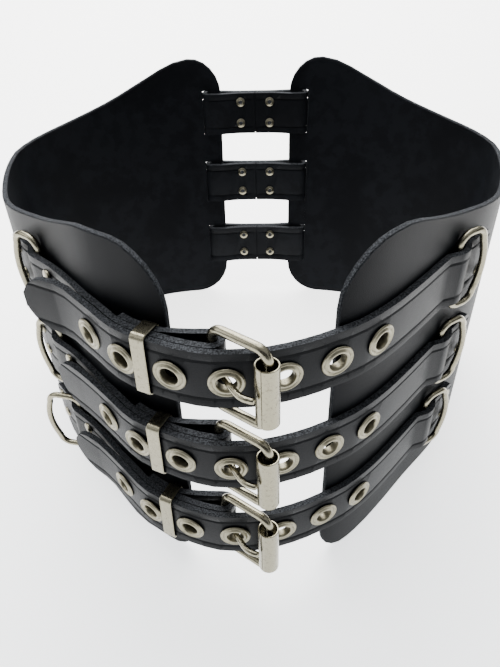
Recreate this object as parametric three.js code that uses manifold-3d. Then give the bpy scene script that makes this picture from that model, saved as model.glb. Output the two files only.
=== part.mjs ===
// A kidney belt: two tall leather panels, joined at the back by three folded straps and closed in front by three
// buckled straps. Millimetres, +Z up, the front towards -Y, the lower edges on Z = 0.
import * as THREE from "three";
import { mergeVertices } from "three/addons/utils/BufferGeometryUtils.js";
import Module from "manifold-3d";

const wasm = await Module();
wasm.setup();

// Driving sizes
const LEATHER = 3;
const GAP = 0.3;
const STRAP_WIDTH = 28;
const ROW_SPACING = 50.8;
const LOWEST_ROW = 42;
const HOLE_SPACING = 22.8;

const BACK_EDGE = 26;
const FRONT_TOP_RADIUS = 26;
const FRONT_BOTTOM_RADIUS = 18;
const BACK_TOP_RADIUS = 24;
const BACK_BOTTOM_RADIUS = 26;

const RING_WIRE = 1.6;
const RING_HEIGHT = 45;
const FRAME_WIRE = 2.15;
const FRAME_HEIGHT = 44.5;
const FRAME_CORNER = 5;
const ROLLER_RADIUS = 5;
const ROLLER_WALL = 1;
const ROLLER_LENGTH = 32.5;
const ROLLER_SINK = 0.7;
const PRONG_WIRE = 1.5;
const KEEPER_BAND = 1.2;
const KEEPER_WIDTH = 6;
const GROMMET_RADIUS = 7.3;
const GROMMET_HOLE = 3.8;
const GROMMET_BARREL = 4.3;
const GROMMET_RISE = 0.9;
const GROMMET_LIFT = 0.55;
const HOLE_SIDES = 8;
const GROMMET_SIDES = 12;
const RIVET_RADIUS = 3.2;
const RIVET_RISE = 0.9;
const RIVET_SIDES = 8;

// Half of the belt's plan at the floor, from the middle of the front round the side to the middle of the back.
// lean is the angle by which the wall tips towards the back, in degrees.
const PLAN = [
  { x: 0, y: -124, lean: 3.5 },
  { x: 15, y: -122.8, lean: 3.5 },
  { x: 30, y: -119.5, lean: 3.5 },
  { x: 45, y: -113, lean: 3.5 },
  { x: 60, y: -101, lean: 3.5 },
  { x: 76, y: -84, lean: 3.5 },
  { x: 94, y: -63, lean: 3.5 },
  { x: 113, y: -42, lean: 3 },
  { x: 124, y: -27, lean: 3 },
  { x: 132, y: -12, lean: 3 },
  { x: 139, y: 5, lean: 3 },
  { x: 146, y: 25, lean: 3.5 },
  { x: 151, y: 45, lean: 4.2 },
  { x: 153, y: 62, lean: 5 },
  { x: 148, y: 80, lean: 6 },
  { x: 135, y: 96, lean: 7.5 },
  { x: 112, y: 111, lean: 9.6 },
  { x: 85, y: 125, lean: 11.3 },
  { x: 58, y: 131.5, lean: 12 },
  { x: 25, y: 134, lean: 12 },
  { x: 0, y: 134.5, lean: 12 },
];

// The panels' upper edge: height over the floor at a place along the girth, counted from the middle of the front.
const UPPER_EDGE = [
  { along: 30, height: 190 },
  { along: 60, height: 190 },
  { along: 77, height: 189 },
  { along: 95, height: 183 },
  { along: 116, height: 176 },
  { along: 144, height: 170 },
  { along: 190, height: 160 },
  { along: 238, height: 155 },
  { along: 273, height: 153 },
  { along: 298, height: 154 },
  { along: 317, height: 157 },
  { along: 338, height: 162 },
  { along: 360, height: 170 },
  { along: 379, height: 178 },
  { along: 392, height: 180.5 },
  { along: 425, height: 180.5 },
];

// Front ends of the panels along the girth, and how far the left one is pressed in under the buckled straps.
const PANELS = [
  { name: "left_panel", side: -1, front: 32, pressed: 3.5 },
  { name: "right_panel", side: 1, front: 39, pressed: 0 },
];
const PRESSED_UNTIL = 50;
const PRESSED_FADES = 78;

// The three rows of straps. tip is how far the billet's free end stands out, and leftSwing how far the bow of the
// left ring stands out further than that of the right one.
const ROWS = [
  { name: "top", height: LOWEST_ROW + 2 * ROW_SPACING, tip: 16, leftSwing: 0 },
  { name: "middle", height: LOWEST_ROW + ROW_SPACING, tip: 10, leftSwing: 1.5 },
  { name: "bottom", height: LOWEST_ROW, tip: 11.5, leftSwing: 8 },
];

// Places along the girth, from the middle of the front, right positive
const RING_BAR_PLACE = 122;
const RING_BOW_PLACE = 138;
const STRAP_END_PLACE = 151;
const END_RIVET_PLACE = 145;
const HEEL_PLACE = -12;
const HEEL_OUT = 0.6;
const ROLLER_PLACE = 8.5;
const ROLLER_OUT = 15.3;
const PRONG_HOLE_PLACE = -6.5;
const HOLES = [-3, -2, -1, 0, 1, 2, 3];
const KEEPER_PLACE = -39;
const TIP_PLACE = -112;
const BACK_SLOT_FROM_EDGE = 12;
const LINK_RIVET_PLACE = 11;
const LINK_RIVET_HEIGHT = 7.3;

const ON_PANEL = GAP + LEATHER / 2;
const LAYER = LEATHER + GAP;
const STATION_STEP = 7;

// The panels' edges and slots
const CROWN = 190;
const CORNER_STEPS = 6;
const PANEL_STEPS = 32;
const PANEL_LEVELS = 1;
const SLOT_WIDTH = 4.8;
const SLOT_LENGTH = STRAP_WIDTH + 3;
const SLOT_DEPTH = 12;

// Folds, ends and rivets of the straps
const RIDGE_OUT = GAP + 2 * RING_WIRE + GAP + LEATHER / 2;
const TIP_LENGTH = 16;
const TIP_FLAT = 0.28;
const END_CORNER = 5;
const HEEL_FOLD = FRAME_WIRE + 2 * GAP + LEATHER / 2;
const PRONG_SLOT_WIDTH = 6;
const PRONG_SLOT_LENGTH = 18;
const CHAPE_RIVET_PLACE = 110;
const CHAPE_RIVET_LIFT = 1.9;
const PAIR_HEIGHT = 7.5;
const SEAM = 0.4;
const LINK_FOLD = (LEATHER + 2 * GAP + LEATHER) / 2;
const FOLD_IN_SLOT = 2.9;
const LINK_HALF = (LAYER + LEATHER) / 2;

// Rings, buckles and keepers
const BEND_STEPS = 3;
const BOW_STEPS = 4;
const RING_CORNER = 5;
const RING_BOW = 3;
const BOW_OUT = GAP + LEATHER + GAP + RING_WIRE + 0.5;
const BAR_OUT = ROLLER_OUT - 0.3;
const LOOP_START = 0.25 * Math.PI;
const LOOP_END = 1.8 * Math.PI;
const KEEPER_FROM = -3.2;
const KEEPER_TO = 9.4;
const KEEPER_CORNER = 1.6;

// Solids

function solidOf(geometry) {
  const bare = geometry.clone();
  bare.deleteAttribute("normal");
  bare.deleteAttribute("uv");
  const merged = mergeVertices(bare, 1e-4);
  return new wasm.Manifold(
    new wasm.Mesh({
      numProp: 3,
      vertProperties: Float32Array.from(merged.attributes.position.array),
      triVerts: Uint32Array.from(merged.index.array),
    }),
  );
}

function geometryOf(solid) {
  const mesh = solid.getMesh();
  const geometry = new THREE.BufferGeometry();
  geometry.setAttribute("position", new THREE.BufferAttribute(mesh.vertProperties, 3));
  geometry.setIndex(new THREE.BufferAttribute(mesh.triVerts, 1));
  geometry.computeVertexNormals();
  return geometry;
}

// A closed skin over sections of the same even number of points: the first half runs up the outer face, the second
// half down the inner one.
function loft(sections) {
  const count = sections[0].length;
  const positions = sections.flat().flatMap((p) => [p.x, p.y, p.z]);
  const faces = [];
  const quad = (a, b, c, d) => faces.push(a, b, c, a, c, d);
  for (let i = 0; i + 1 < sections.length; i++) {
    for (let j = 0; j < count; j++) {
      const next = (j + 1) % count;
      quad(i * count + j, (i + 1) * count + j, (i + 1) * count + next, i * count + next);
    }
  }
  const last = (sections.length - 1) * count;
  for (let j = 0; j + 1 < count / 2; j++) {
    const across = count - 1 - j;
    quad(j, j + 1, across - 1, across);
    quad(last + across, last + across - 1, last + j + 1, last + j);
  }
  const geometry = new THREE.BufferGeometry();
  geometry.setAttribute("position", new THREE.Float32BufferAttribute(positions, 3));
  geometry.setIndex(faces);
  geometry.computeVertexNormals();
  return geometry;
}

// The belt's wall

const UP = new THREE.Vector3(0, 0, 1);

function girthLine(height) {
  const half = PLAN.map(
    (p) => new THREE.Vector3(p.x, p.y + height * Math.tan(THREE.MathUtils.degToRad(p.lean)), height),
  );
  const mirrored = half
    .slice(1, -1)
    .reverse()
    .map((p) => new THREE.Vector3(-p.x, p.y, p.z));
  const line = new THREE.CatmullRomCurve3([...half, ...mirrored], true, "centripetal");
  line.arcLengthDivisions = 1500;
  return line;
}

const floorLine = girthLine(0);
const crownLine = girthLine(CROWN);
const GIRTH = floorLine.getLength();

// The place at a distance along the girth, a height over the floor and a level distance out from the panels' outer
// face, with the directions along the wall, up it and square to it there.
function wallFrame(along, height, out) {
  const t = floorLine.getUtoTmapping(THREE.MathUtils.euclideanModulo(along / GIRTH, 1));
  const foot = floorLine.getPoint(t);
  const rise = crownLine.getPoint(t).sub(foot).divideScalar(CROWN);
  const forward = floorLine.getTangent(t);
  const outward = new THREE.Vector3().crossVectors(forward, rise).normalize();
  const level = new THREE.Vector3().crossVectors(forward, UP).normalize();
  const place = foot.addScaledVector(rise, height).addScaledVector(level, out);
  const upward = new THREE.Vector3().crossVectors(outward, forward).normalize();
  return { place, forward, upward, outward };
}

function wall(along, height, out) {
  return wallFrame(along, height, out).place;
}

// Moves a shape made in the frame x along, y up, z out to a place on the wall.
function onWall(geometry, frame) {
  const basis = new THREE.Matrix4().makeBasis(frame.forward, frame.upward, frame.outward);
  return geometry.applyMatrix4(basis.setPosition(frame.place));
}

function pressedIn(along, amount) {
  return amount * (1 - THREE.MathUtils.smoothstep(Math.abs(along), PRESSED_UNTIL, PRESSED_FADES));
}

// Leather panels

const EDGE_CURVE = new THREE.CatmullRomCurve3(
  UPPER_EDGE.map((e) => new THREE.Vector3(e.along, e.height, 0)),
  false,
  "centripetal",
);

const EDGE_SAMPLES = EDGE_CURVE.getPoints(400);

function upperEdge(along) {
  const after = Math.max(1, EDGE_SAMPLES.findIndex((p) => p.x >= along));
  const a = EDGE_SAMPLES[after - 1];
  const b = EDGE_SAMPLES[after];
  return THREE.MathUtils.mapLinear(along, a.x, b.x, a.y, b.y);
}

// How far a rounded corner pulls the edge back at a distance from the end.
function cornerDrop(distance, radius) {
  if (distance >= radius) return 0;
  return radius - Math.sqrt(radius ** 2 - (radius - distance) ** 2);
}

function panelLength(panel) {
  return GIRTH / 2 - BACK_EDGE - panel.front;
}

function panelOutline(panel, from) {
  const toBack = panelLength(panel) - from;
  const top =
    upperEdge(panel.front + from) - cornerDrop(from, FRONT_TOP_RADIUS) - cornerDrop(toBack, BACK_TOP_RADIUS);
  const bottom = cornerDrop(from, FRONT_BOTTOM_RADIUS) + cornerDrop(toBack, BACK_BOTTOM_RADIUS);
  return { top, bottom };
}

function panelColumns(length) {
  const corner = (radius) =>
    Array.from({ length: CORNER_STEPS }, (_, i) => radius * (1 - Math.cos((i / CORNER_STEPS) * (Math.PI / 2))));
  const span = length - FRONT_TOP_RADIUS - BACK_TOP_RADIUS;
  const middle = Array.from({ length: PANEL_STEPS + 1 }, (_, i) => FRONT_TOP_RADIUS + (span * i) / PANEL_STEPS);
  const back = corner(BACK_TOP_RADIUS)
    .map((d) => length - d)
    .reverse();
  return [...corner(FRONT_TOP_RADIUS), ...middle, ...back];
}

function makePanel(panel) {
  const sections = panelColumns(panelLength(panel)).map((from) => {
    const along = panel.side * (panel.front + from);
    const { top, bottom } = panelOutline(panel, from);
    const out = -pressedIn(along, panel.pressed);
    const levels = Array.from({ length: PANEL_LEVELS + 1 }, (_, i) => bottom + ((top - bottom) * i) / PANEL_LEVELS);
    const outer = levels.map((height) => wall(along, height, out));
    const inner = levels.map((height) => wall(along, height, out - LEATHER)).reverse();
    return [...outer, ...inner];
  });
  if (panel.side < 0) sections.reverse();
  let solid = solidOf(loft(sections));
  for (const row of ROWS) {
    const slotAlong = panel.side * (GIRTH / 2 - BACK_EDGE - BACK_SLOT_FROM_EDGE);
    const slot = new THREE.BoxGeometry(SLOT_WIDTH, SLOT_LENGTH, SLOT_DEPTH);
    solid = solid.subtract(solidOf(onWall(slot, wallFrame(slotAlong, row.height, -LEATHER / 2))));
  }
  return geometryOf(solid);
}

// Straps: a strip of leather follows a route of places along the girth and out from it.

function spread(points) {
  const curve = new THREE.SplineCurve(points);
  return curve.getSpacedPoints(Math.max(2, Math.round(curve.getLength() / STATION_STEP)));
}

// Half a turn round a bar, from one face to the other.
function fold(along, out, radius, startAngle, endAngle, steps) {
  return Array.from({ length: steps + 1 }, (_, i) => {
    const angle = startAngle + ((endAngle - startAngle) * i) / steps;
    return new THREE.Vector2(along + radius * Math.cos(angle), out + radius * Math.sin(angle));
  });
}

function routeNormals(route) {
  return route.map((_, i) => {
    const before = route[Math.max(0, i - 1)];
    const after = route[Math.min(route.length - 1, i + 1)];
    const way = after.clone().sub(before).normalize();
    return new THREE.Vector2(-way.y, way.x);
  });
}

// shape gives the strip's half width for a distance from either end, so that its ends can be rounded.
function stripSolid(route, height, shape = () => STRAP_WIDTH / 2) {
  const normals = routeNormals(route);
  const travelled = [0];
  route.slice(1).forEach((p, i) => travelled.push(travelled[i] + p.distanceTo(route[i])));
  const total = travelled[travelled.length - 1];
  const sections = route.map((p, i) => {
    const half = shape(travelled[i], total);
    const sides = [1, -1].map((side) => p.clone().addScaledVector(normals[i], (side * LEATHER) / 2));
    return [
      wall(sides[0].x, height - half, sides[0].y),
      wall(sides[0].x, height + half, sides[0].y),
      wall(sides[1].x, height + half, sides[1].y),
      wall(sides[1].x, height - half, sides[1].y),
    ];
  });
  return solidOf(loft(sections));
}

// Middle line of a route on a row, with its true length.
function routeLine(route, height) {
  return new THREE.CatmullRomCurve3(
    route.map((p) => wall(p.x, height, p.y)),
    false,
    "centripetal",
  );
}

function routeFrame(line, distance) {
  const u = distance / line.getLength();
  const place = line.getPointAt(u);
  const forward = line.getTangentAt(u);
  const outward = new THREE.Vector3().crossVectors(forward, new THREE.Vector3(0, 0, 1)).normalize();
  const upward = new THREE.Vector3().crossVectors(outward, forward).normalize();
  return { place, forward, upward, outward };
}

// A cutter for a round hole: its flat sides, not its corners, lie at the radius.
function holeCutter(radius, length) {
  const corners = radius / Math.cos(Math.PI / HOLE_SIDES);
  return new THREE.CylinderGeometry(corners, corners, length, HOLE_SIDES).rotateX(Math.PI / 2);
}

// A rivet with a domed head before each of two faces, given as distances out from the frame's place.
function addRivet(solid, frame, back, front) {
  const profile = [
    [0, back - RIVET_RISE],
    [RIVET_RADIUS / 2, back - RIVET_RISE],
    [RIVET_RADIUS, back + GAP],
    [RIVET_RADIUS, front - GAP],
    [RIVET_RADIUS / 2, front + RIVET_RISE],
    [0, front + RIVET_RISE],
  ].map(([radius, out]) => new THREE.Vector2(radius, out));
  const rivet = new THREE.LatheGeometry(profile, RIVET_SIDES).rotateX(Math.PI / 2);
  return solid.add(solidOf(onWall(rivet, frame)));
}

// The stretch of every front strap that holds its ring: the end on the panel, then the ridge over the ring's bar.

const RING_STRETCH = [
  [STRAP_END_PLACE, ON_PANEL],
  [RING_BOW_PLACE, ON_PANEL],
  [RING_BAR_PLACE + 8.5, ON_PANEL + 0.2],
  [RING_BAR_PLACE + 3, RIDGE_OUT - 0.3],
  [RING_BAR_PLACE, RIDGE_OUT + 0.1],
  [RING_BAR_PLACE - 3, RIDGE_OUT - 0.3],
];

function routeThrough(rows, side = 1) {
  return rows.map(([along, out]) => new THREE.Vector2(side * along, out));
}

// Billets: from the right ring, over the heel bar of the buckle, to a rounded tip on the left.

function billetRoute(row) {
  const rest = routeThrough([
    [RING_BAR_PLACE - 9, ON_PANEL + 0.2],
    [100, ON_PANEL],
    [60, ON_PANEL],
    [40, ON_PANEL + 0.3],
    [28, 3.6],
    [18, 5.2],
    [ROLLER_PLACE, 6.6],
    [PRONG_HOLE_PLACE, 7.8],
    [HEEL_PLACE, 8.3],
    [-17, 8.1],
    [-25, 7.4],
    [-35, 6.4],
    [-48, 6.4],
    [-57, 5.9],
    [-67, 5.1],
    [-78, 5.3],
    [-90, 6.3],
    [TIP_PLACE + 11, row.tip / 2 + 2.7],
    [TIP_PLACE, row.tip],
  ]);
  return [...routeThrough(RING_STRETCH), ...spread(rest)];
}

// Half the width of a strap whose riveted end has rounded corners.
function endShape(travelled) {
  return STRAP_WIDTH / 2 - cornerDrop(travelled, END_CORNER);
}

// The same with the rounded tip at the strap's other end.
function tipShape(travelled, total) {
  const left = Math.min(1, (total - travelled) / TIP_LENGTH);
  return Math.min(endShape(travelled), (STRAP_WIDTH / 2) * Math.max(TIP_FLAT, Math.sqrt(1 - (1 - left) ** 2)));
}

// Extra stations close to the riveted end, so that its corners are round.
function withEnd(route) {
  const [first, second] = route;
  const steps = [0, 0.03, 0.1, 0.25, 0.5];
  return [...steps.map((s) => first.clone().lerp(second, s)), ...route.slice(1)];
}

// The same close to the loose tip.
function withTip(route) {
  const last = route[route.length - 1];
  const before = route.findLast((p) => p.distanceTo(last) > TIP_LENGTH);
  const kept = route.slice(0, route.indexOf(before) + 1);
  const steps = [0.1, 0.4, 0.65, 0.82, 0.93, 0.98, 1];
  return [...kept, ...steps.map((s) => before.clone().lerp(last, s))];
}

// Distance along a route's line of the point that lies at a place along the girth, on the route's outer stretch.
function distanceAtPlace(line, along, height) {
  const length = line.getLength();
  const target = wall(along, height, 0);
  let best = { distance: 0, gap: Infinity };
  for (let distance = length * 0.25; distance < length; distance += 0.25) {
    const point = line.getPointAt(distance / length);
    const gap = Math.hypot(point.x - target.x, point.y - target.y);
    if (gap < best.gap) best = { distance, gap };
  }
  return best.distance;
}

function holeFrames(row) {
  const line = routeLine(billetRoute(row), row.height);
  line.arcLengthDivisions = 800;
  const prongHole = distanceAtPlace(line, PRONG_HOLE_PLACE, row.height);
  return HOLES.map((step) => routeFrame(line, prongHole - step * HOLE_SPACING));
}

function turnedOut(frame) {
  const facing = frame.place.clone().setZ(0).dot(frame.outward) > 0 ? 1 : -1;
  return {
    place: frame.place,
    forward: frame.forward.clone().multiplyScalar(facing),
    upward: frame.upward,
    outward: frame.outward.clone().multiplyScalar(facing),
  };
}

function makeBillet(row) {
  let solid = stripSolid(withTip(withEnd(billetRoute(row))), row.height, tipShape);
  for (const frame of holeFrames(row)) {
    const cutter = holeCutter(GROMMET_BARREL + GAP, 3 * LEATHER);
    solid = solid.subtract(solidOf(onWall(cutter, turnedOut(frame))));
  }
  return geometryOf(addRivetPair(solid, row, END_RIVET_PLACE, GAP + LEATHER));
}

function makeGrommet(frame) {
  const face = LEATHER / 2 + GROMMET_LIFT;
  const end = -LEATHER / 2 + GAP;
  const profile = [
    [GROMMET_HOLE, end],
    [GROMMET_BARREL, end],
    [GROMMET_BARREL, face],
    [GROMMET_RADIUS, face],
    [GROMMET_HOLE + GROMMET_RISE, face + GROMMET_RISE],
    [GROMMET_HOLE, face],
    [GROMMET_HOLE, end],
  ].map(([radius, out]) => new THREE.Vector2(radius, out));
  const lathe = new THREE.LatheGeometry(profile, GROMMET_SIDES).rotateX(Math.PI / 2);
  return onWall(lathe, turnedOut(frame));
}

// Chapes: from the left ring to the heel bar of the buckle, where the strap folds back on the body side.

function chapeRoute() {
  const outer = [
    [RING_BAR_PLACE - 10, ON_PANEL + 2],
    [102, ON_PANEL + 0.6],
    [90, ON_PANEL],
    [78, ON_PANEL],
    [67, 1.6],
    [57, 2.5],
    [50, 3.05],
    [35, 3.1],
    [26, 3.9],
    [17, HEEL_OUT + HEEL_FOLD - 0.1],
    [1 - HEEL_PLACE, HEEL_OUT + HEEL_FOLD],
  ];
  const end = [
    [2 - HEEL_PLACE, HEEL_OUT - HEEL_FOLD],
    [26, -1.7],
    [35, -0.2],
    [48, -0.2],
    [54, -0.4],
  ];
  return [
    ...routeThrough(RING_STRETCH, -1),
    ...spread(routeThrough(outer, -1)),
    ...fold(HEEL_PLACE, HEEL_OUT, HEEL_FOLD, Math.PI / 2, -Math.PI / 2, 8),
    ...spread(routeThrough(end, -1)),
  ];
}

// The pair of rivets one above the other at a place on a strap, whose face there is at a distance out. Their back
// ends stay inside the leather.
function addRivetPair(solid, row, along, face) {
  const buried = face - LEATHER / 2 + RIVET_RISE / 2;
  return [1, -1].reduce(
    (joined, end) => addRivet(joined, wallFrame(along, row.height + end * PAIR_HEIGHT, 0), buried, face),
    solid,
  );
}

function makeChape(row) {
  const slot = new THREE.BoxGeometry(PRONG_SLOT_LENGTH, PRONG_SLOT_WIDTH, 5 * LEATHER);
  const slotFrame = wallFrame(HEEL_PLACE, row.height, HEEL_OUT);
  let solid = stripSolid(withEnd(chapeRoute()), row.height, endShape);
  solid = solid.subtract(solidOf(onWall(slot, slotFrame)));
  solid = addRivetPair(solid, row, -END_RIVET_PLACE, GAP + LEATHER);
  solid = addRivetPair(solid, row, -CHAPE_RIVET_PLACE, GAP + LEATHER + CHAPE_RIVET_LIFT);
  return geometryOf(solid);
}

// Back links: one strap each, through the slots of both panels, its ends meeting inside at a seam.

const BACK_MIDDLE = GIRTH / 2;

// From the seam inside to the right, round the panel's edge strip, across the outside and the same way back.
function linkRoute() {
  const turn = BACK_EDGE + BACK_SLOT_FROM_EDGE - FOLD_IN_SLOT;
  const flat = LAYER / 2;
  const rightHalf = [
    ...spread(
      routeThrough([
        [SEAM / 2, -flat],
        [LINK_RIVET_PLACE, -flat],
        [19, -flat - 0.6],
        [26, -LINK_FOLD - 0.1],
        [turn - 1, -LINK_FOLD],
      ]),
    ),
    ...fold(turn, 0, LINK_FOLD, -Math.PI / 2, Math.PI / 2, 8),
    ...spread(
      routeThrough([
        [turn - 1, LINK_FOLD],
        [26, LINK_FOLD + 0.1],
        [19, flat + 0.6],
        [LINK_RIVET_PLACE, flat],
        [0, flat],
      ]),
    ),
  ];
  const leftHalf = rightHalf
    .slice(0, -1)
    .reverse()
    .map((p) => new THREE.Vector2(-p.x, p.y));
  return [...rightHalf, ...leftHalf].map((p) => new THREE.Vector2(BACK_MIDDLE - p.x, p.y - LEATHER / 2));
}

function makeLink(row) {
  let solid = stripSolid(linkRoute(), row.height);
  for (const across of [1, -1]) {
    for (const end of [1, -1]) {
      const along = BACK_MIDDLE + across * LINK_RIVET_PLACE;
      const frame = wallFrame(along, row.height + end * LINK_RIVET_HEIGHT, -LEATHER / 2);
      solid = addRivet(solid, frame, -LINK_HALF, LINK_HALF);
    }
  }
  return geometryOf(solid);
}

// Metal

// A closed wire through bends that are given point by point, so that its straight stretches stay straight.
class BentWire extends THREE.Curve {
  constructor(points) {
    super();
    this.points = points;
  }

  pointBy(index) {
    return this.points[THREE.MathUtils.euclideanModulo(index, this.points.length)].clone();
  }

  getPointAt(u) {
    return this.pointBy(Math.round(u * this.points.length));
  }

  getTangentAt(u) {
    const index = Math.round(u * this.points.length);
    return this.pointBy(index + 1).sub(this.pointBy(index - 1)).normalize();
  }
}

// A wire bent to a rounded rectangle: depth along x, height along y. Its side at +x may bow outwards.
function wireLoop(depth, height, corner, wire, sides, bow = 0) {
  const x = depth / 2 - wire - corner;
  const y = height / 2 - wire - corner;
  const quarter = Math.PI / 2;
  const points = [
    [x, y, 0],
    [-x, y, quarter],
    [-x, -y, 2 * quarter],
    [x, -y, 3 * quarter],
  ].flatMap(([middleX, middleY, start]) =>
    Array.from({ length: BEND_STEPS + 1 }, (_, i) => {
      const angle = start + (i / BEND_STEPS) * quarter;
      return new THREE.Vector3(middleX + corner * Math.cos(angle), middleY + corner * Math.sin(angle), 0);
    }),
  );
  for (let i = 1; bow > 0 && i < BOW_STEPS; i++) {
    const up = (2 * i) / BOW_STEPS - 1;
    points.push(new THREE.Vector3(x + corner + bow * (1 - up ** 2), y * up, 0));
  }
  return new THREE.TubeGeometry(new BentWire(points), points.length, wire, sides, true);
}

function makeRing(row, side) {
  const swing = side < 0 ? row.leftSwing : 0;
  const bar = wall(side * RING_BAR_PLACE, row.height, GAP + RING_WIRE);
  const bow = wall(side * RING_BOW_PLACE, row.height, BOW_OUT + swing);
  const upward = wallFrame(side * RING_BAR_PLACE, row.height, 0).upward;
  const forward = bow.clone().sub(bar);
  const depth = forward.length() + 2 * RING_WIRE;
  forward.normalize();
  const outward = new THREE.Vector3().crossVectors(forward, upward).normalize();
  const loop = wireLoop(depth, RING_HEIGHT, RING_CORNER, RING_WIRE, 6, RING_BOW);
  const place = bar.clone().lerp(bow, 0.5);
  return onWall(loop, { place, forward, upward: new THREE.Vector3().crossVectors(outward, forward), outward });
}

// The plane of a buckle's frame, from its heel bar to the bar inside the roller.
function buckleFrame(row) {
  const heel = wall(HEEL_PLACE, row.height, HEEL_OUT);
  const bar = wall(ROLLER_PLACE, row.height, BAR_OUT);
  const upward = wallFrame(ROLLER_PLACE, row.height, 0).upward;
  const forward = bar.clone().sub(heel);
  const depth = forward.length() + 2 * FRAME_WIRE;
  forward.normalize();
  const outward = new THREE.Vector3().crossVectors(forward, upward).normalize();
  const place = heel.clone().lerp(bar, 0.5);
  return { depth, frame: { place, forward, upward: new THREE.Vector3().crossVectors(outward, forward), outward } };
}

function makeFrame(row) {
  const { depth, frame } = buckleFrame(row);
  return onWall(wireLoop(depth, FRAME_HEIGHT, FRAME_CORNER, FRAME_WIRE, 8), frame);
}

function makeRoller(row) {
  const half = ROLLER_LENGTH / 2;
  const profile = [
    [ROLLER_RADIUS - ROLLER_WALL, -half],
    [ROLLER_RADIUS, -half],
    [ROLLER_RADIUS, half],
    [ROLLER_RADIUS - ROLLER_WALL, half],
    [ROLLER_RADIUS - ROLLER_WALL, -half],
  ].map(([radius, up]) => new THREE.Vector2(radius, up));
  return onWall(new THREE.LatheGeometry(profile, 16), wallFrame(ROLLER_PLACE, row.height - ROLLER_SINK, ROLLER_OUT));
}

// The prong's loop round the heel bar, and its shaft through the billet's hole to the side of the roller.
const PRONG_SHAFT = [
  [-7.3, 5.7],
  [-5.5, 8.8],
  [-2.7, 13.6],
  [-1, 16.2],
  [0.6, 17.8],
  [3.2, 19],
];

function makeProng(row) {
  const around = FRAME_WIRE + GAP + PRONG_WIRE;
  const loop = fold(HEEL_PLACE, HEEL_OUT, around, LOOP_END, LOOP_START, 12);
  const route = [...loop, ...routeThrough(PRONG_SHAFT)];
  const line = new THREE.CatmullRomCurve3(
    route.map((p) => wall(p.x, row.height, p.y)),
    false,
    "centripetal",
  );
  const section = new THREE.Shape().absarc(0, 0, PRONG_WIRE, 0, 2 * Math.PI);
  return new THREE.ExtrudeGeometry(section, { steps: 18, extrudePath: line, curveSegments: 3 });
}

function makeKeeper(row) {
  const half = STRAP_WIDTH / 2 + 0.6 + KEEPER_BAND;
  const rounded = (path, inset) => {
    const x0 = -half + inset;
    const x1 = half - inset;
    const y0 = KEEPER_FROM + inset;
    const y1 = KEEPER_TO - inset;
    const r = KEEPER_CORNER - inset;
    path.moveTo(x0 + r, y0);
    path.lineTo(x1 - r, y0);
    path.absarc(x1 - r, y0 + r, r, -Math.PI / 2, 0);
    path.lineTo(x1, y1 - r);
    path.absarc(x1 - r, y1 - r, r, 0, Math.PI / 2);
    path.lineTo(x0 + r, y1);
    path.absarc(x0 + r, y1 - r, r, Math.PI / 2, Math.PI);
    path.lineTo(x0, y0 + r);
    path.absarc(x0 + r, y0 + r, r, Math.PI, 1.5 * Math.PI);
    return path;
  };
  const section = rounded(new THREE.Shape(), 0);
  section.holes.push(rounded(new THREE.Path(), KEEPER_BAND));
  const band = new THREE.ExtrudeGeometry(section, { depth: KEEPER_WIDTH, bevelEnabled: false, curveSegments: 2 });
  // The section's x is the belt's up and its y is out, so the band's length runs along the belt.
  const turned = new THREE.Matrix4().makeBasis(
    new THREE.Vector3(0, 1, 0),
    new THREE.Vector3(0, 0, 1),
    new THREE.Vector3(1, 0, 0),
  );
  band.translate(0, 0, -KEEPER_WIDTH / 2).applyMatrix4(turned);
  return onWall(band, wallFrame(KEEPER_PLACE, row.height, 0));
}

// Finishes

const LEATHER_FINISH = new THREE.MeshStandardMaterial({ color: 0x17181a, roughness: 0.55, metalness: 0 });
const STRAP_FINISH = new THREE.MeshStandardMaterial({ color: 0x1b1d20, roughness: 0.5, metalness: 0 });
const NICKEL_FINISH = new THREE.MeshStandardMaterial({ color: 0xb9b3a6, roughness: 0.3, metalness: 1 });

const group = new THREE.Group();

function addPiece(name, geometry, finish) {
  const mesh = new THREE.Mesh(geometry, finish.clone());
  mesh.name = name;
  group.add(mesh);
}

for (const panel of PANELS) {
  addPiece(panel.name, makePanel(panel), LEATHER_FINISH);
}
for (const row of ROWS) {
  addPiece(`back_link_${row.name}`, makeLink(row), STRAP_FINISH);
  addPiece(`billet_${row.name}`, makeBillet(row), STRAP_FINISH);
  addPiece(`chape_${row.name}`, makeChape(row), STRAP_FINISH);
  addPiece(`ring_left_${row.name}`, makeRing(row, -1), NICKEL_FINISH);
  addPiece(`ring_right_${row.name}`, makeRing(row, 1), NICKEL_FINISH);
  addPiece(`buckle_frame_${row.name}`, makeFrame(row), NICKEL_FINISH);
  addPiece(`buckle_roller_${row.name}`, makeRoller(row), NICKEL_FINISH);
  addPiece(`buckle_prong_${row.name}`, makeProng(row), NICKEL_FINISH);
  addPiece(`keeper_${row.name}`, makeKeeper(row), NICKEL_FINISH);
  holeFrames(row).forEach((frame, i) => {
    addPiece(`grommet_${row.name}_${i + 1}`, makeGrommet(frame), NICKEL_FINISH);
  });
}

// The origin is below the middle of the whole belt, on the surface that it stands on.
const box = new THREE.Box3().setFromObject(group);
const middle = box.getCenter(new THREE.Vector3());
group.position.set(-middle.x, -middle.y, -box.min.z);

export default group;
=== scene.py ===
"""Looks of a kidney belt: two tall panels of black leather, three folded joining straps behind and three
buckled straps in front, with nickel rings, eyelets, keepers, roller buckles and rivets. The frame's solids
give the places and most sizes. This script rounds their edges, presses the straps' lines, bends and turns
the metal, and gives every piece its finish."""

import math

import bmesh
import bpy
import numpy as np
from bpy.props import FloatProperty, FloatVectorProperty, PointerProperty
from mathutils import Matrix, Vector


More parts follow.
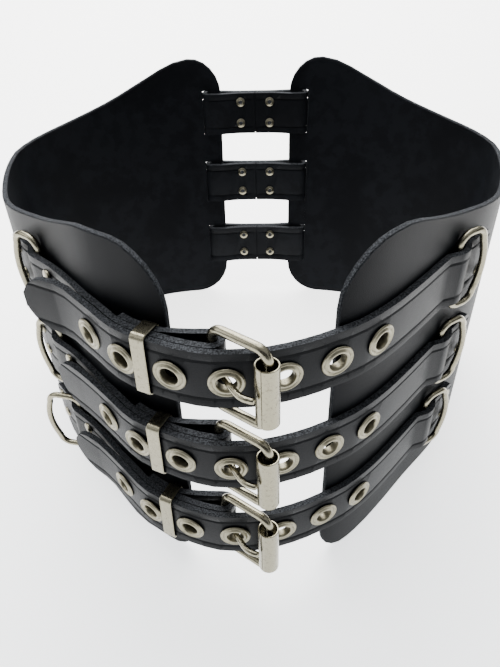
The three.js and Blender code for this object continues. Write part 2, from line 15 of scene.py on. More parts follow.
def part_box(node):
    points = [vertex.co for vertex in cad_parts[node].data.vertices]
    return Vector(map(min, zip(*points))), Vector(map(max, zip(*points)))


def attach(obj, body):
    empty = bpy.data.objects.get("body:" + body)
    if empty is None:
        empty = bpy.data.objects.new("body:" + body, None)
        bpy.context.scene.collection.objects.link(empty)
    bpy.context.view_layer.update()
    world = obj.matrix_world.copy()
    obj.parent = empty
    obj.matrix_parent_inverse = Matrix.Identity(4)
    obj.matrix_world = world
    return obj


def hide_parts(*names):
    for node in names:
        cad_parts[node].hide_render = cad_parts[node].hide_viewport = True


bl_info = {
    "name": "Kidney Belt Looks",
    "version": (1, 0, 0),
    "blender": (4, 5, 0),
    "location": "View3D > Sidebar > Belt",
    "description": "Leather and nickel finishes of a kidney belt with three buckled straps",
    "category": "Object",
}

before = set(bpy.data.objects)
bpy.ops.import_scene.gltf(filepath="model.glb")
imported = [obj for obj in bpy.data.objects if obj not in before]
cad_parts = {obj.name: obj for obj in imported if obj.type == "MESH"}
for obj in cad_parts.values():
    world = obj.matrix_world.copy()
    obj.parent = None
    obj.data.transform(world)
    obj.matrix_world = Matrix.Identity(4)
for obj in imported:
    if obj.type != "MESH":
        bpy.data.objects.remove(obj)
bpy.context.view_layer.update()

MM = 0.001
ROWS = ("top", "middle", "bottom")
SIDES = ("left", "right")
PANELS = ("left_panel", "right_panel")
STRAPS = tuple(f"{kind}_{row}" for kind in ("billet", "chape", "back_link") for row in ROWS)
EYELETS = tuple(name for name in sorted(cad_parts) if name.startswith("grommet"))

# Faces that meet at more than this angle meet at an edge. Corners closer than this are one corner.
SHARP = math.radians(38)
MERGE = 0.002 * MM

# Two triangles make one four-sided face where they are as flat and as square as this.
FLAT_PAIR = math.radians(12)
SQUARE_PAIR = math.radians(70)

# How dull each finish is at its smoothest, and how much the leathers mirror.
PANEL_DULL, PANEL_SHINE = 0.4, 0.052
STRAP_DULL, STRAP_SHINE = 0.33, 0.09
METAL_DULL = {"rivet": 0.24, "eyelet": 0.34, "ring": 0.2, "buckle": 0.17, "keeper": 0.22}

# How cut the leather is in its rounded edges, where 1 is a raw cut edge, and the steps in such an edge.
EDGE_CUT = 0.35
EDGE_STEPS = 3

# Where a pressed line is cut into the leather, in parts of its width.
CREASE_CUTS = (-0.5, 0, 0.5)

# The slots' outer sides, by their distance from the belt's middle, are drawn in so that no light shows
# past the straps.
SLOT_SIDE = (39.6 * MM, 41 * MM)
SLOT_DRAWN_IN = 0.8 * MM

# A rivet's head on a strap's solid ends in a flat octagon of this area, in square millimetres.
RIVET_TOP_AREA = (6.0, 9.0)
RIVET_TOP_SIDES = 8

# A rivet's outline from its rim inwards: parts of its radius, and millimetres over the solid's flat top.
RIVET_FOOT = -1.35
RIVET_RIM = ((1, RIVET_FOOT), (1, RIVET_FOOT + 0.35), (0.93, -0.35), (0.72, 0.05))
RIVET_HOLLOW = ((0.5, 0.12), (0.4, -0.1), (0.36, -0.5), (0.34, RIVET_FOOT))
RIVET_DOME = ((0.45, 0.2), (0.2, 0.28), (0.02, 0.3), (0.02, RIVET_FOOT))
RIVET_STEPS = 28

# An eyelet's outline from the back of its barrel round its rolled rim and into its hole: radius, and height
# over its solid's top, in millimetres.
EYELET_OUTLINE = (
    (4.3, -3.9),
    (4.3, -1.3),
    (7.0, -1.35),
    (7.45, -1.2),
    (7.55, -0.9),
    (7.4, -0.5),
    (7.0, -0.25),
    (6.6, -0.32),
    (6.3, -0.62),
    (6.0, -0.7),
    (5.7, -0.5),
    (5.3, -0.06),
    (4.9, 0.1),
    (4.45, 0.0),
    (4.12, -0.4),
    (3.98, -1.2),
    (3.95, -3.9),
)
EYELET_STEPS = 40

# The corners of the bent wires, how far a ring's outer side bows, the steps in a corner and in half a bow,
# and how finely a wire is rounded.
RING_CORNER = 6 * MM
RING_BOW = 3 * MM
FRAME_CORNER = 5.2 * MM
CORNER_STEPS = 8
BOW_STEPS = 8
WIRE_ROUNDNESS = 6

# The direction in which each roller's seam faces, in degrees from the front towards the belt's left.
ROLLER_SEAM = {"top": 27, "middle": 155, "bottom": 40}

# A roller's sleeve: its radius, how rounded its edges are, how wide the slit of its seam is, and how much
# shorter than its solid it is at each end.
ROLLER_RADIUS = 5 * MM
ROLLER_EDGE = 0.22 * MM
ROLLER_SLIT = math.radians(3.5)
ROLLER_SHORTER = 1.2 * MM
ROLLER_STEPS = 56

# How much a prong swells before it is smoothed, how long the tip is that then reaches further, and how far
# and which way it reaches.
PRONG_SWELL = 0.22 * MM
PRONG_TIP = 1.2 * MM
PRONG_REACH = 1.3 * MM
PRONG_WAY = (1, -0.35, 0)
PRONG_LEVELS = 2

# A keeper's sheet, width and the radius of its bends.
KEEPER_SHEET = 0.9 * MM
KEEPER_WIDTH = 6.6 * MM
KEEPER_BEND = 2.4 * MM

# Where the camera stood, in the frame's own millimetres, and how it was turned.
CAMERA_PLACE = (11.09, -299.25, 307.26)
CAMERA_DOWN = 0.7118
CAMERA_YAW = -0.04586
CAMERA_ROLL = 0.03283
CAMERA_LENS = 31.59
CAMERA_NEAREST = 10 * MM

# Half the floor's width and its colour, and its glow of painted light, which changes between two places in
# depth, from a dimmer front to a brighter back.
FLOOR_HALF = 8
FLOOR_COLOUR = (0.93, 0.925, 0.915, 1)
FLOOR_DEPTH = (-0.4, 0.35)
FLOOR_FRONT = (0.5, 0.525, 0.55)
FLOOR_BACK = (1.0, 0.995, 0.98)
FLOOR_PAINTED_GLOW = 2.9

# What the lights and the dark cards face, and the daylight of the room.
AIM = Vector((0, 0, 0.08))
ROOM_COLOUR = (0.93, 0.96, 1, 1)
ROOM_STRENGTH = 0.7

# The lights: name, place, size and power.
LIGHTS = (
    ("ceiling", (-0.2, 0.35, 1.6), 1.3, 30),
    ("left_window", (-1.3, -0.2, 0.9), 0.9, 6),
    ("back_window", (-0.1, 1.7, 1.45), 2.2, 110),
)

# Where the dark cards hang, how wide and high they are, and their colour.
CARDS = (((0.0, -1.0, 0.55), 1.6, 0.8), ((1.1, -0.1, 0.4), 1.2, 0.6), ((-1.0, 0.2, 0.3), 0.9, 0.4))
CARD_COLOUR = (0.015, 0.015, 0.017, 1)


class LeatherSizes(bpy.types.PropertyGroup):
    """Sizes and colours of the leather."""

    edge_round: FloatProperty(
        name="Edge rounding", description="Radius of the leather's edges", default=0.55 * MM, unit="LENGTH"
    )
    crease_inset: FloatProperty(
        name="Crease inset",
        description="Distance of the pressed lines from a strap's edges",
        default=4.4 * MM,
        unit="LENGTH",
    )
    crease_width: FloatProperty(
        name="Crease width", description="Width of the pressed lines", default=1.5 * MM, unit="LENGTH"
    )
    crease_depth: FloatProperty(
        name="Crease depth", description="Depth of the pressed lines", default=0.95 * MM, unit="LENGTH"
    )
    grain: FloatProperty(
        name="Grain size", description="Size of the hide's cells", default=0.9 * MM, unit="LENGTH"
    )
    hide: FloatVectorProperty(
        name="Hide", description="Colour of the dyed hide", default=(0.0016, 0.0018, 0.0024), subtype="COLOR"
    )
    worn: FloatVectorProperty(
        name="Worn hide",
        description="Colour of rubbed places",
        default=(0.006, 0.0068, 0.0085),
        subtype="COLOR",
    )
    fibre: FloatVectorProperty(
        name="Cut edge",
        description="Colour of the fibres in a cut edge",
        default=(0.066, 0.07, 0.077),
        subtype="COLOR",
    )


class MetalSizes(bpy.types.PropertyGroup):
    """Sizes and colours of the metal."""

    frame_wire: FloatProperty(
        name="Buckle wire", description="Radius of a buckle frame's wire", default=2.15 * MM, unit="LENGTH"
    )
    ring_wire: FloatProperty(
        name="Ring wire", description="Radius of a ring's wire", default=1.75 * MM, unit="LENGTH"
    )
    roller_wall: FloatProperty(
        name="Roller wall", description="Thickness of a roller's sheet", default=0.8 * MM, unit="LENGTH"
    )
    rivet_radius: FloatProperty(
        name="Rivet radius", description="Radius of a rivet's head", default=3.35 * MM, unit="LENGTH"
    )
    nickel: FloatVectorProperty(
        name="Nickel", description="Colour of the plating", default=(0.25, 0.23, 0.165), subtype="COLOR"
    )
    tarnish: FloatVectorProperty(
        name="Tarnish", description="Colour of its dull spots", default=(0.09, 0.076, 0.048), subtype="COLOR"
    )


class Wired:
    """An output socket in a sum: every operation adds the Math node that does it."""

    def __init__(self, look, socket):
        self.look = look
        self.socket = socket

    def math(self, operation, *values):
        return self.look.node("ShaderNodeMath", {"operation": operation}, dict(enumerate(values)))

    def __add__(self, other):
        return self.math("ADD", self, other)

    def __sub__(self, other):
        return self.math("SUBTRACT", self, other)

    def __rsub__(self, other):
        return self.math("SUBTRACT", other, self)

    def __mul__(self, other):
        return self.math("MULTIPLY", self, other)

    __radd__ = __add__
    __rmul__ = __mul__

    def between(self, low, high):
        """0 up to low, 1 from high on, and smooth between them. low may be the larger one."""
        inputs = {"Value": self, "From Min": low, "From Max": high}
        return self.look.node("ShaderNodeMapRange", {"interpolation_type": "SMOOTHSTEP"}, inputs)


class Look:
    """A material that is being made."""

    def __init__(self, name):
        self.material = bpy.data.materials.new(name)
        self.material.use_nodes = True
        self.tree = self.material.node_tree
        self.tree.nodes.clear()
        self.place = self.node("ShaderNodeTexCoord", output="Object")

    def node(self, kind, settings=None, inputs=None, output=0):
        """Adds a node, with its settings first and then the values or links of its sockets."""
        made = self.tree.nodes.new(kind)
        for key, value in (settings or {}).items():
            setattr(made, key, value)
        for key, value in (inputs or {}).items():
            if isinstance(value, Wired):
                self.tree.links.new(value.socket, made.inputs[key])
            else:
                made.inputs[key].default_value = value
        return Wired(self, made.outputs[output])

    def noise(self, size, detail=3.0, roughness=0.5, stretch=(1, 1, 1)):
        """Noise whose blots are about size metres, drawn out by stretch."""
        scale = [1 / times for times in stretch]
        where = self.node("ShaderNodeMapping", None, {"Vector": self.place, "Scale": scale})
        inputs = {"Vector": where, "Scale": 1 / size, "Detail": detail, "Roughness": roughness}
        return self.node("ShaderNodeTexNoise", None, inputs)

    def cells(self, size, feature):
        """Distance to the cells' points or edges, in cells of about size metres."""
        inputs = {"Vector": self.place, "Scale": 1 / size}
        return self.node("ShaderNodeTexVoronoi", {"feature": feature}, inputs, "Distance")

    def mix(self, factor, first, second):
        """The first colour where the factor is 0 and the second where it is 1."""
        colours = {6: opaque(first), 7: opaque(second)}
        return self.node("ShaderNodeMix", {"data_type": "RGBA"}, {0: factor, **colours}, 2)

    def bump(self, height, distance, strength):
        inputs = {"Height": height, "Distance": distance, "Strength": strength}
        return self.node("ShaderNodeBump", None, inputs)

    def finish(self, **inputs):
        """The material, with these values or links on its shader's sockets."""
        named = {key.replace("_", " "): value for key, value in inputs.items()}
        shader = self.node("ShaderNodeBsdfPrincipled", None, named)
        end = self.tree.nodes.new("ShaderNodeOutputMaterial")
        self.tree.links.new(shader.socket, end.inputs["Surface"])
        return self.material


def opaque(colour):
    return colour if isinstance(colour, Wired) else (*colour, 1)


def make_leather(name, sizes, dull, shine):
    """Dyed hide with fine grain, rubbed places and raw fibres in its cut edges."""
    look = Look(name)
    cut = look.node("ShaderNodeAttribute", {"attribute_name": "cut"}, None, "Fac")
    flesh = look.node("ShaderNodeAttribute", {"attribute_name": "flesh"}, None, "Fac")
    broad = look.noise(55 * MM, 3)
    patches = look.noise(9 * MM, 4, 0.6)
    grain = look.cells(sizes.grain, "DISTANCE_TO_EDGE").between(0.0, 0.22)
    fine = look.noise(0.45 * MM, 3, 0.6)
    rubbed = look.noise(2.2 * MM, 5, 0.62, (5, 5, 1)).between(0.6, 0.78) * patches.between(0.48, 0.66)
    fibres = look.noise(0.5 * MM, 4, 0.7, (1.6, 1.6, 1)).between(0.36, 0.66)
    nap = flesh * (0.4 + patches.between(0.4, 0.62) * broad.between(0.35, 0.6))
    shade = look.mix(broad.between(0.35, 0.7) * 0.35 + rubbed * 0.5 + nap, sizes.hide, sizes.worn)
    fibre_dark = tuple(0.1 * c for c in sizes.fibre)
    raw = look.mix(fibres, fibre_dark, sizes.fibre)
    height = grain * 0.5 + fine * 0.5 + broad * 3.0
    skin = 1 - cut
    relief = height * skin + fibres * 2.2 * cut
    rough = dull + 0.12 * broad + rubbed * 0.1 + flesh * 0.12
    return look.finish(
        Base_Color=look.mix(cut, shade, raw),
        Roughness=rough * skin + cut * 0.88,
        Specular_IOR_Level=shine,
        Normal=look.bump(relief, 0.09 * MM, 0.55),
    )


def make_nickel(name, sizes, dull):
    """Warm nickel plate with fine scratches, pits and dull spots."""
    look = Look(name)
    broad = look.noise(7 * MM, 3, 0.55)
    pits = look.cells(1.5 * MM, "F1").between(0.17, 0.08) * look.noise(3.5 * MM, 2).between(0.5, 0.6)
    scratches = look.noise(0.25 * MM, 2, 0.5, (1, 1, 14)).between(0.56, 0.72)
    cross = look.noise(0.3 * MM, 2, 0.5, (12, 12, 1)).between(0.6, 0.75)
    spots = look.noise(1.6 * MM, 5, 0.65).between(0.5, 0.76) * 0.6 + pits * 0.9
    height = broad * 1.6 - pits * 0.8 - scratches * 0.12 - cross * 0.1
    return look.finish(
        Base_Color=look.mix(spots, sizes.nickel, sizes.tarnish),
        Metallic=1.0,
        Roughness=dull + broad * 0.1 + spots * 0.2 + scratches * 0.08 + cross * 0.06,
        Normal=look.bump(height, 0.08 * MM, 0.4),
    )


def make_floor():
    """A pale table, lit by the lamps and glowing with painted light that is brighter towards the back."""
    look = Look("pale_floor")
    depth = look.node("ShaderNodeSeparateXYZ", None, {"Vector": look.place}, "Y")
    # Painted light: the floor's glow goes from dimmer at the front to brighter at the back.
    painted_glow = look.mix(depth.between(*FLOOR_DEPTH), FLOOR_FRONT, FLOOR_BACK)
    return look.finish(
        Base_Color=FLOOR_COLOUR, Roughness=0.6, Emission_Color=painted_glow, Emission_Strength=FLOOR_PAINTED_GLOW
    )


def merged_copy(name):
    """The solid of a node, with the corners of its loose triangles joined."""
    made = bmesh.new()
    made.from_mesh(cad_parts[name].data)
    bmesh.ops.remove_doubles(made, verts=made.verts, dist=MERGE)
    return made


def add_piece(name, shape, material, replaced=None):
    """The finished mesh as a smooth piece on the belt."""
    mesh = bpy.data.meshes.new(name)
    shape.normal_update()
    shape.to_mesh(mesh)
    shape.free()
    mesh.shade_smooth()
    mesh.set_sharp_from_angle(angle=SHARP)
    mesh.materials.append(material)
    piece = bpy.data.objects.new(name, mesh)
    bpy.context.scene.collection.objects.link(piece)
    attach(piece, "root")
    if replaced:
        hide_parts(replaced)
    return piece


def weigh_normals(piece):
    """Shades a piece by its larger faces, so that its narrow ones don't show as stripes."""
    weighted = piece.modifiers.new("Even shading", "WEIGHTED_NORMAL")
    weighted.mode = "FACE_AREA_WITH_ANGLE"
    weighted.keep_sharp = True


def smooth_regions(shape):
    """Lists of faces that join without a sharp edge, the largest first."""
    shape.faces.ensure_lookup_table()
    shape.normal_update()
    left = set(shape.faces)
    regions = []
    while left:
        start = left.pop()
        region, edge_of_region = [start], [start]
        while edge_of_region:
            face = edge_of_region.pop()
            for edge in face.edges:
                for other in edge.link_faces:
                    if other in left and edge.calc_face_angle(math.pi) < SHARP:
                        left.remove(other)
                        region.append(other)
                        edge_of_region.append(other)
        regions.append(region)
    return sorted(regions, key=lambda faces: -sum(face.calc_area() for face in faces))


def rivet_places(shape):
    """Centre and direction of each rivet's flat top on a strap's solid."""
    flat = shape.copy()
    bmesh.ops.dissolve_limit(flat, angle_limit=math.radians(1), verts=flat.verts, edges=flat.edges)
    places = []
    for face in flat.faces:
        area = face.calc_area() / MM**2
        if len(face.verts) == RIVET_TOP_SIDES and RIVET_TOP_AREA[0] < area < RIVET_TOP_AREA[1]:
            places.append((face.calc_center_median(), face.normal.copy()))
    flat.free()
    return places


def press_line(shape, skin, height, sizes):
    """A groove along a strap at a height: its middle is cut in and pressed down on the skin."""
    for offset in CREASE_CUTS:
        plane = Vector((0, 0, height + offset * sizes.crease_width))
        everything = [*shape.verts, *shape.edges, *shape.faces]
        bmesh.ops.bisect_plane(shape, geom=everything, plane_co=plane, plane_no=(0, 0, 1), dist=1e-7)
    shape.normal_update()
    for vert in shape.verts:
        on_skin = all(face[skin] for face in vert.link_faces)
        if on_skin and abs(vert.co.z - height) < 1e-6:
            vert.co -= vert.normal * sizes.crease_depth


def leather_shape(name, sizes, creases):
    """A leather piece with marked cut edges, pressed lines and rounded edges."""
    shape = merged_copy(name)
    layers = shape.faces.layers
    layers.float.new("cut")
    layers.float.new("flesh")
    layers.int.new("skin")
    cut, flesh, skin = layers.float.get("cut"), layers.float.get("flesh"), layers.int.get("skin")
    for region in smooth_regions(shape)[:2]:
        for face in region:
            face[skin] = 1
    bmesh.ops.join_triangles(
        shape,
        faces=[face for face in shape.faces if face[skin]],
        angle_face_threshold=FLAT_PAIR,
        angle_shape_threshold=SQUARE_PAIR,
    )
    if creases:
        low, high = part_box(name)
        middle = (low.z + high.z) / 2
        half = (high.z - low.z) / 2
        for side in (-1, 1):
            press_line(shape, skin, middle + side * (half - sizes.crease_inset), sizes)
    border = [edge for edge in shape.edges if len({face[skin] for face in edge.link_faces}) == 2]
    rounded = bmesh.ops.bevel(
        shape,
        geom=border,
        offset=sizes.edge_round,
        offset_type="OFFSET",
        segments=EDGE_STEPS,
        profile=0.5,
        affect="EDGES",
        clamp_overlap=True,
        material=-1,
    )
    for face in shape.faces:
        face[cut] = 0.0 if face[skin] else 1.0
    for face in rounded["faces"]:
        face[cut] = EDGE_CUT
    for face in shape.faces:
        centre = face.calc_center_median()
        face[flesh] = 1.0 if face.normal.x * centre.x + face.normal.y * centre.y < 0 else 0.0
    return shape


def axes_of(name):
    """Centre, axes and sizes of a node, the longest first, from how its corners lie."""
    points = np.array([vert.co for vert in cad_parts[name].data.vertices])
    points = np.unique(np.round(points, 6), axis=0)
    middle = points.mean(axis=0)
    directions = np.linalg.svd(points - middle)[2]
    along = (points - middle) @ directions.T
    low, high = along.min(axis=0), along.max(axis=0)
    centre = middle + ((low + high) / 2) @ directions
    order = np.argsort(low - high)
    return Vector(centre), [Vector(directions[i]) for i in order], [float(high[i] - low[i]) for i in order]


def pointed(direction, wanted):
    """The direction, or its opposite if that is nearer to the wanted one."""
    return direction if direction.dot(wanted) > 0 else -direction


def outwards(centre):
    """Level and away from the belt's middle."""
    return Vector((centre.x, centre.y, 0))


def turned_to(centre, across, upward, outward):
    """The matrix that puts a shape made along x, up y and out z in its place."""
    basis = Matrix((across, upward, outward)).transposed().to_4x4()
    return Matrix.Translation(centre) @ basis


def spun(profile, steps, angle=2 * math.pi, start=0.0):
    """A closed outline of (radius, height) turned about z, with flat ends unless it goes right round."""
    shape = bmesh.new()
    first = [
        shape.verts.new((radius * math.cos(start), radius * math.sin(start), height))
        for radius, height in profile
    ]
    edges = [shape.edges.new((first[i], first[(i + 1) % len(first)])) for i in range(len(first))]
    whole = angle > 2 * math.pi - 1e-6
    turned = bmesh.ops.spin(
        shape,
        geom=[*first, *edges],
        cent=(0, 0, 0),
        axis=(0, 0, 1),
        angle=angle,
        steps=steps,
        use_merge=whole,
        use_duplicate=False,
    )
    if not whole:
        last = [part for part in turned["geom_last"] if isinstance(part, bmesh.types.BMVert)]
        shape.faces.new(first)
        shape.faces.new(sorted(last, key=lambda vert: nearest_in(profile, vert)))
    bmesh.ops.recalc_face_normals(shape, faces=shape.faces)
    return shape


def nearest_in(profile, vert):
    """The place in the outline of a corner that was turned from it."""
    turned = Vector((math.hypot(vert.co.x, vert.co.y), vert.co.z))
    return min(range(len(profile)), key=lambda i: (Vector(profile[i]) - turned).length)


def wire_shape(points, radius):
    """A round wire along a closed line of points."""
    line = bpy.data.curves.new("wire", "CURVE")
    line.dimensions = "3D"
    line.bevel_depth = radius
    line.bevel_resolution = WIRE_ROUNDNESS
    spline = line.splines.new("POLY")
    spline.points.add(len(points) - 1)
    for point, place in zip(spline.points, points):
        point.co = (*place, 1)
    spline.use_cyclic_u = True
    carrier = bpy.data.objects.new("wire", line)
    shape = bmesh.new()
    shape.from_mesh(carrier.to_mesh())
    carrier.to_mesh_clear()
    bpy.data.objects.remove(carrier)
    bpy.data.curves.remove(line)
    bmesh.ops.remove_doubles(shape, verts=shape.verts, dist=1e-7)
    bmesh.ops.recalc_face_normals(shape, faces=shape.faces)
    return shape


def bent_loop(half_depth, half_height, corner, bow=0.0):
    """Points of a rounded rectangle, depth along x and height along y. Its side at +x may bow outwards."""
    points = []
    x, y = half_depth - corner, half_height - corner
    for middle_x, middle_y, start in ((x, y, 0), (-x, y, 90), (-x, -y, 180), (x, -y, 270)):
        for i in range(CORNER_STEPS + 1):
            angle = math.radians(start + 90 * i / CORNER_STEPS)
            points.append((middle_x + corner * math.cos(angle), middle_y + corner * math.sin(angle), 0))
    if bow:
        for i in range(1, 2 * BOW_STEPS):
            up = i / BOW_STEPS - 1
            points.append((x + corner + bow * (1 - up**2), y * up, 0))
    return points


def band_shape(points, width, thickness):
    """A flat band with soft edges along a closed line in the plane of x and y. Its width lies along z."""
    half, thin, soft = width / 2, thickness / 2, thickness / 3
    section = [
        (thin, half - soft),
        (thin - soft, half),
        (soft - thin, half),
        (-thin, half - soft),
        (-thin, soft - half),
        (soft - thin, -half),
        (thin - soft, -half),
        (thin, soft - half),
    ]
    sides = []
    for before, after in zip([points[-1], *points[:-1]], [*points[1:], points[0]]):
        along = Vector(after) - Vector(before)
        sides.append(Vector((along.y, -along.x, 0)).normalized())
    shape = bmesh.new()
    loops = []
    for out, up in section:
        places = [Vector(point) + side * out + Vector((0, 0, up)) for point, side in zip(points, sides)]
        corners = [shape.verts.new(place) for place in places]
        loops.append([shape.edges.new((corners[i - 1], corners[i])) for i in range(len(corners))])
    for first, second in zip(loops, [*loops[1:], loops[0]]):
        bmesh.ops.bridge_loops(shape, edges=first + second)
    return shape


class BELT_OT_panels(bpy.types.Operator):
    """Rounds and finishes the two tall panels"""

    bl_idname = "belt.panels"
    bl_label = "Leather Panels"

    def execute(self, context):
        sizes = context.scene.belt_leather
        material = make_leather("panel_leather", sizes, PANEL_DULL, PANEL_SHINE)
        for name in PANELS:
            shape = leather_shape(name, sizes, False)
            self.narrow_slots(shape)
            weigh_normals(add_piece(f"{name}_hide", shape, material, name))
        return {"FINISHED"}

    def narrow_slots(self, shape):
        """Draws in the outer side of every slot."""
        for vert in shape.verts:
            if vert.co.y > 0 and SLOT_SIDE[0] < abs(vert.co.x) < SLOT_SIDE[1]:
                vert.co.x -= math.copysign(SLOT_DRAWN_IN, vert.co.x)


class BELT_OT_straps(bpy.types.Operator):
    """Presses the lines of the straps, rounds their edges and sets their rivets"""

    bl_idname = "belt.straps"
    bl_label = "Straps and Rivets"

    def execute(self, context):
        sizes = context.scene.belt_leather
        material = make_leather("strap_leather", sizes, STRAP_DULL, STRAP_SHINE)
        metal = make_nickel("rivet_nickel", context.scene.belt_metal, METAL_DULL["rivet"])
        for name in STRAPS:
            solid = merged_copy(name)
            places = rivet_places(solid)
            solid.free()
            shape = leather_shape(name, sizes, True)
            weigh_normals(add_piece(f"{name}_strap", shape, material, name))
            self.set_rivets(name, places, metal, context.scene.belt_metal.rivet_radius)
        return {"FINISHED"}

    def set_rivets(self, name, places, metal, radius):
        """Hollow rivets on the joining straps, and plain domed ones on the others."""
        middle = RIVET_HOLLOW if name.startswith("back_link") else RIVET_DOME
        profile = [(part * radius, height * MM) for part, height in RIVET_RIM + middle]
        for number, (centre, normal) in enumerate(places, 1):
            head = spun(profile, RIVET_STEPS)
            head.transform(turned_to(centre, *square_to(normal)))
            add_piece(f"{name}_rivet_{number}", head, metal)


def square_to(normal):
    """The three axes of a round piece whose own axis is the normal."""
    across = normal.cross(Vector((0, 0, 1))).normalized()
    return across, normal.cross(across), normal


class BELT_OT_eyelets(bpy.types.Operator):
    """Turns the eyelets in the straps' holes"""

    bl_idname = "belt.eyelets"
    bl_label = "Eyelets"

    def execute(self, context):
        metal = make_nickel("eyelet_nickel", context.scene.belt_metal, METAL_DULL["eyelet"])
        profile = [(radius * MM, height * MM) for radius, height in EYELET_OUTLINE]
        for name in EYELETS:
            centre, axes, lengths = axes_of(name)
            normal = pointed(axes[2], outwards(centre))
            top = centre + normal * lengths[2] / 2
            eyelet = spun(profile, EYELET_STEPS)
            eyelet.transform(turned_to(top, *square_to(normal)))
            add_piece(f"{name}_eyelet", eyelet, metal, name)
        return {"FINISHED"}


class BELT_OT_rings(bpy.types.Operator):
    """Bends the rings that hold the straps to the panels"""

    bl_idname = "belt.rings"
    bl_label = "Rings"

    def execute(self, context):
        sizes = context.scene.belt_metal
        metal = make_nickel("ring_nickel", sizes, METAL_DULL["ring"])
        for row in ROWS:
            for side in SIDES:
                name = f"ring_{side}_{row}"
                centre, axes, lengths = axes_of(name)
                upward = pointed(axes[0], Vector((0, 0, 1)))
                back = pointed(axes[1], Vector((0, 1, 0)))
                wire = sizes.ring_wire
                half_depth = (lengths[1] - RING_BOW) / 2 - wire
                points = bent_loop(half_depth, lengths[0] / 2 - wire, RING_CORNER, RING_BOW)
                ring = wire_shape(points, wire)
                middle = centre - back * RING_BOW / 2
                ring.transform(turned_to(middle, back, upward, back.cross(upward)))
                bmesh.ops.recalc_face_normals(ring, faces=ring.faces)
                add_piece(f"{name}_wire", ring, metal, name)
        return {"FINISHED"}


class BELT_OT_buckles(bpy.types.Operator):
    """Makes the buckles' frames, rollers and prongs"""

    bl_idname = "belt.buckles"
    bl_label = "Buckles"

    def execute(self, context):
        sizes = context.scene.belt_metal
        metal = make_nickel("buckle_nickel", sizes, METAL_DULL["buckle"])
        for row in ROWS:
            self.bend_frame(f"buckle_frame_{row}", sizes, metal)
            self.roll_sleeve(f"buckle_roller_{row}", sizes, metal, ROLLER_SEAM[row])
            self.round_prong(f"buckle_prong_{row}", metal)
        return {"FINISHED"}

    def bend_frame(self, name, sizes, metal):
        """A wire bent to a rounded rectangle, from the heel bar to the bar in the roller."""
        centre, axes, lengths = axes_of(name)
        upward = pointed(axes[0], Vector((0, 0, 1)))
        back = pointed(axes[1], Vector((-1, 0, 0)))
        wire = sizes.frame_wire
        points = bent_loop(lengths[1] / 2 - wire, lengths[0] / 2 - wire, FRAME_CORNER)
        shape = wire_shape(points, wire)
        shape.transform(turned_to(centre, back, upward, back.cross(upward)))
        bmesh.ops.recalc_face_normals(shape, faces=shape.faces)
        add_piece(f"{name}_wire", shape, metal, name)

    def roll_sleeve(self, name, sizes, metal, seam):
        """A rolled sheet whose two edges meet at a narrow slit."""
        centre, axes, lengths = axes_of(name)
        upward = pointed(axes[0], Vector((0, 0, 1)))
        half = lengths[0] / 2 - ROLLER_SHORTER
        radius, soft = ROLLER_RADIUS, ROLLER_EDGE
        inside = radius - sizes.roller_wall
        profile = [
            (inside, -half + soft),
            (inside + soft, -half),
            (radius - soft, -half),
            (radius, -half + soft),
            (radius, half - soft),
            (radius - soft, half),
            (inside + soft, half),
            (inside, half - soft),
        ]
        facing = math.radians(-90 + seam) + ROLLER_SLIT / 2
        sleeve = spun(profile, ROLLER_STEPS, 2 * math.pi - ROLLER_SLIT, facing)
        across = upward.cross(Vector((0, -1, 0))).normalized()
        sleeve.transform(turned_to(centre, -across, -across.cross(upward), upward))
        bmesh.ops.recalc_face_normals(sleeve, faces=sleeve.faces)
        add_piece(f"{name}_sleeve", sleeve, metal, name)

    def round_prong(self, name, metal):
        """The prong's solid swelled, with a longer tip, and smoothed."""
        shape = merged_copy(name)
        shape.normal_update()
        end = max(vert.co.x for vert in shape.verts)
        for vert in shape.verts:
            vert.co += vert.normal * PRONG_SWELL
            if end - vert.co.x < PRONG_TIP:
                vert.co += PRONG_REACH * Vector(PRONG_WAY).normalized()
        piece = add_piece(f"{name}_pin", shape, metal, name)
        rounding = piece.modifiers.new("Rounding", "SUBSURF")
        rounding.levels = PRONG_LEVELS
        rounding.render_levels = PRONG_LEVELS


class BELT_OT_keepers(bpy.types.Operator):
    """Bends the metal keepers round both layers of strap"""

    bl_idname = "belt.keepers"
    bl_label = "Keepers"

    def execute(self, context):
        metal = make_nickel("keeper_nickel", context.scene.belt_metal, METAL_DULL["keeper"])
        for row in ROWS:
            name = f"keeper_{row}"
            centre, axes, lengths = axes_of(name)
            upward = pointed(axes[0], Vector((0, 0, 1)))
            outward = pointed(axes[1], outwards(centre))
            half_depth, half_height = (lengths[1] - KEEPER_SHEET) / 2, (lengths[0] - KEEPER_SHEET) / 2
            loop = bent_loop(half_depth, half_height, KEEPER_BEND)
            shape = band_shape(loop, KEEPER_WIDTH, KEEPER_SHEET)
            shape.transform(turned_to(centre, outward, upward, outward.cross(upward)))
            bmesh.ops.recalc_face_normals(shape, faces=shape.faces)
            add_piece(f"{name}_band", shape, metal, name)
        return {"FINISHED"}


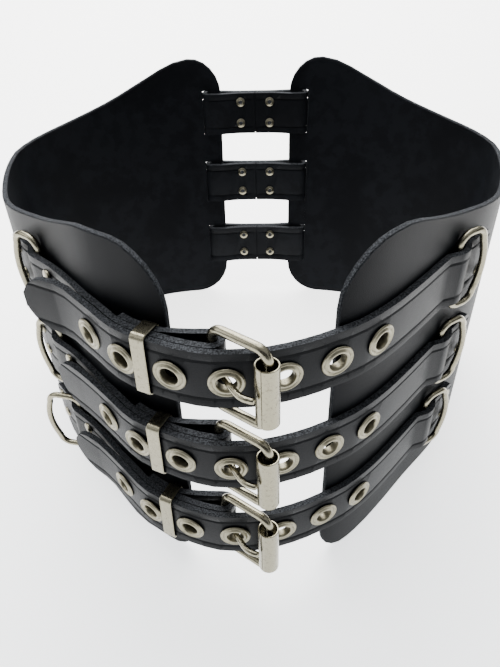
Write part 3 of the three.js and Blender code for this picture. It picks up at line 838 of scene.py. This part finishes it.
class BELT_OT_stage(bpy.types.Operator):
    """Sets the pale floor, the soft lights and the camera"""

    bl_idname = "belt.stage"
    bl_label = "Stage"

    def execute(self, context):
        self.lay_floor()
        self.hang_cards()
        self.set_lights(context.scene)
        self.set_camera(context.scene)
        return {"FINISHED"}

    def add_to_stage(self, name, shape, material):
        """The finished mesh as an object of the stage."""
        mesh = bpy.data.meshes.new(name)
        shape.to_mesh(mesh)
        shape.free()
        mesh.materials.append(material)
        thing = bpy.data.objects.new(name, mesh)
        bpy.context.scene.collection.objects.link(thing)
        return thing

    def lay_floor(self):
        shape = bmesh.new()
        bmesh.ops.create_grid(shape, x_segments=1, y_segments=1, size=FLOOR_HALF)
        self.add_to_stage("floor", shape, make_floor())

    def hang_cards(self):
        """Dark cards around the belt, hidden from the camera, give the metal something dark to mirror."""
        dark = Look("dark_card").finish(Base_Color=CARD_COLOUR, Roughness=0.9)
        for number, (place, width, height) in enumerate(CARDS, 1):
            shape = bmesh.new()
            bmesh.ops.create_grid(shape, x_segments=1, y_segments=1, size=0.5)
            facing = (AIM - Vector(place)).to_track_quat("Z", "Y").to_matrix().to_4x4()
            shape.transform(Matrix.Translation(place) @ facing @ Matrix.Diagonal((width, height, 1, 1)))
            card = self.add_to_stage(f"card_{number}", shape, dark)
            card.visible_camera = False

    def set_lights(self, scene):
        world = bpy.data.worlds.new("soft_room")
        world.use_nodes = True
        background = world.node_tree.nodes["Background"]
        background.inputs["Color"].default_value = ROOM_COLOUR
        background.inputs["Strength"].default_value = ROOM_STRENGTH
        scene.world = world
        for name, place, size, power in LIGHTS:
            light = bpy.data.lights.new(name, "AREA")
            light.size = size
            light.energy = power
            lamp = bpy.data.objects.new(name, light)
            lamp.location = place
            lamp.rotation_euler = (AIM - Vector(place)).to_track_quat("-Z", "Y").to_euler()
            scene.collection.objects.link(lamp)

    def set_camera(self, scene):
        ahead = Vector(
            (
                math.sin(CAMERA_YAW) * math.cos(CAMERA_DOWN),
                math.cos(CAMERA_YAW) * math.cos(CAMERA_DOWN),
                -math.sin(CAMERA_DOWN),
            )
        )
        level = Vector((math.cos(CAMERA_YAW), -math.sin(CAMERA_YAW), 0))
        below = ahead.cross(level)
        right = math.cos(CAMERA_ROLL) * level + math.sin(CAMERA_ROLL) * below
        down = math.cos(CAMERA_ROLL) * below - math.sin(CAMERA_ROLL) * level
        data = bpy.data.cameras.new("camera")
        data.lens = CAMERA_LENS
        data.clip_start = CAMERA_NEAREST
        camera = bpy.data.objects.new("camera", data)
        camera.matrix_world = turned_to(Vector(CAMERA_PLACE) * MM, right, -down, -ahead)
        scene.collection.objects.link(camera)
        scene.camera = camera


class BELT_PT_looks(bpy.types.Panel):
    """Lists the steps that dress the belt"""

    bl_idname = "BELT_PT_looks"
    bl_label = "Kidney Belt"
    bl_space_type = "VIEW_3D"
    bl_region_type = "UI"
    bl_category = "Belt"

    def draw(self, context):
        for step in STEPS:
            self.layout.operator(step.bl_idname)


SETTINGS = {"belt_leather": LeatherSizes, "belt_metal": MetalSizes}
STEPS = (
    BELT_OT_panels,
    BELT_OT_straps,
    BELT_OT_eyelets,
    BELT_OT_rings,
    BELT_OT_buckles,
    BELT_OT_keepers,
    BELT_OT_stage,
)


def register():
    for cls in (*SETTINGS.values(), *STEPS, BELT_PT_looks):
        bpy.utils.register_class(cls)
    for name, cls in SETTINGS.items():
        setattr(bpy.types.Scene, name, PointerProperty(type=cls))


def unregister():
    for name in SETTINGS:
        delattr(bpy.types.Scene, name)
    for cls in reversed((*SETTINGS.values(), *STEPS, BELT_PT_looks)):
        bpy.utils.unregister_class(cls)


def main():
    register()
    for step in STEPS:
        group, action = step.bl_idname.split(".")
        getattr(getattr(bpy.ops, group), action)()


if __name__ == "__main__":
    main()
